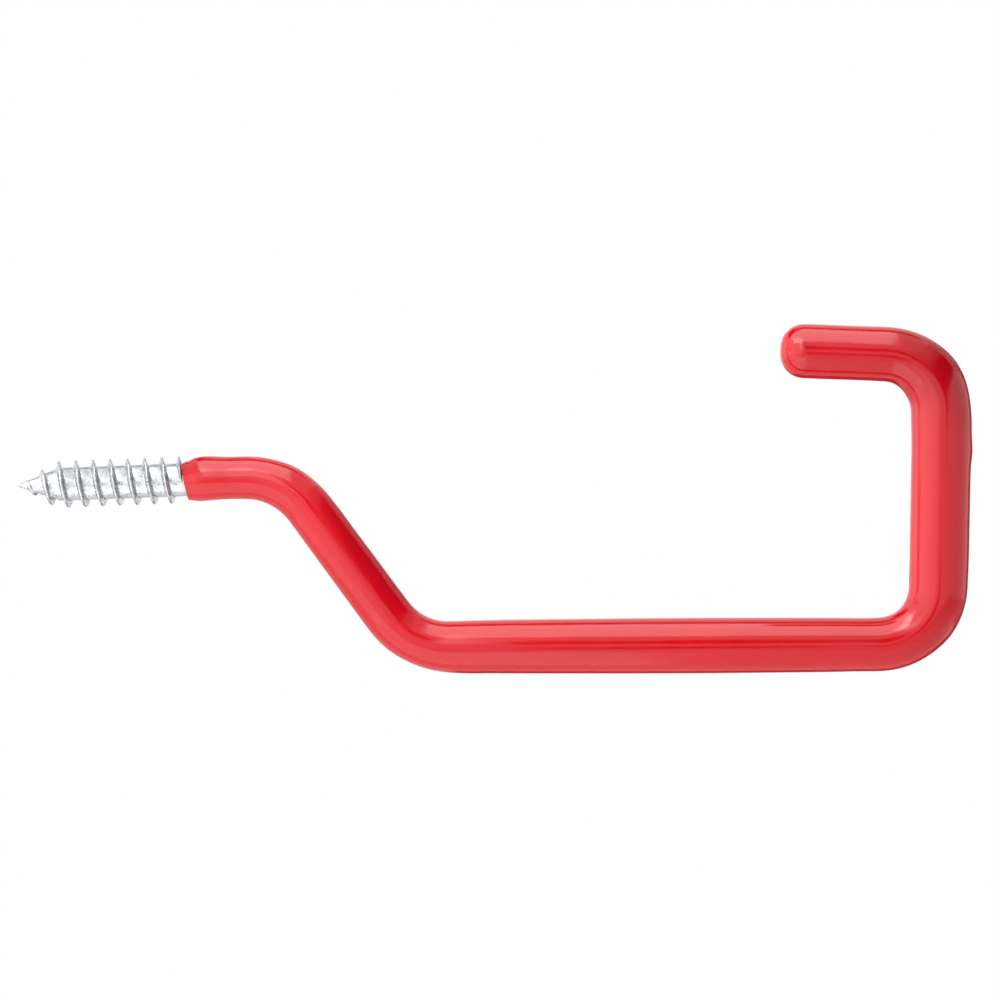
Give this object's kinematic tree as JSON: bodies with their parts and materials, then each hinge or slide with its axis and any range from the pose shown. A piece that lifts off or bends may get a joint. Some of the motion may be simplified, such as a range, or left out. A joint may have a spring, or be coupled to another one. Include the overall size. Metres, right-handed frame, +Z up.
{
  "type": "rafter hook",
  "caption": "Screw-in hook bent from one steel rod, with a coarse wood-screw thread and a gimlet point, under a thick red dip-coated vinyl skin, for hanging ladders and hoses.",
  "frame": {"origin": "on the screw's axis at the rim of the vinyl coating, the end of the part that goes into the timber", "axes": "+X along the screw's axis from the point towards the hook, +Z up on the side the hook's mouth opens to, +Y square to the plane the rod is bent in"},
  "size_m": [0.2015, 0.0126, 0.0739],
  "materials": {
    "zinc_plated_steel": "bright zinc plate",
    "red_vinyl": "gloss, as dipped"
  },
  "bodies": {
    "root": {"threaded_rod": "zinc_plated_steel", "vinyl_coating": "red_vinyl"}
  },
  "joints": []
}
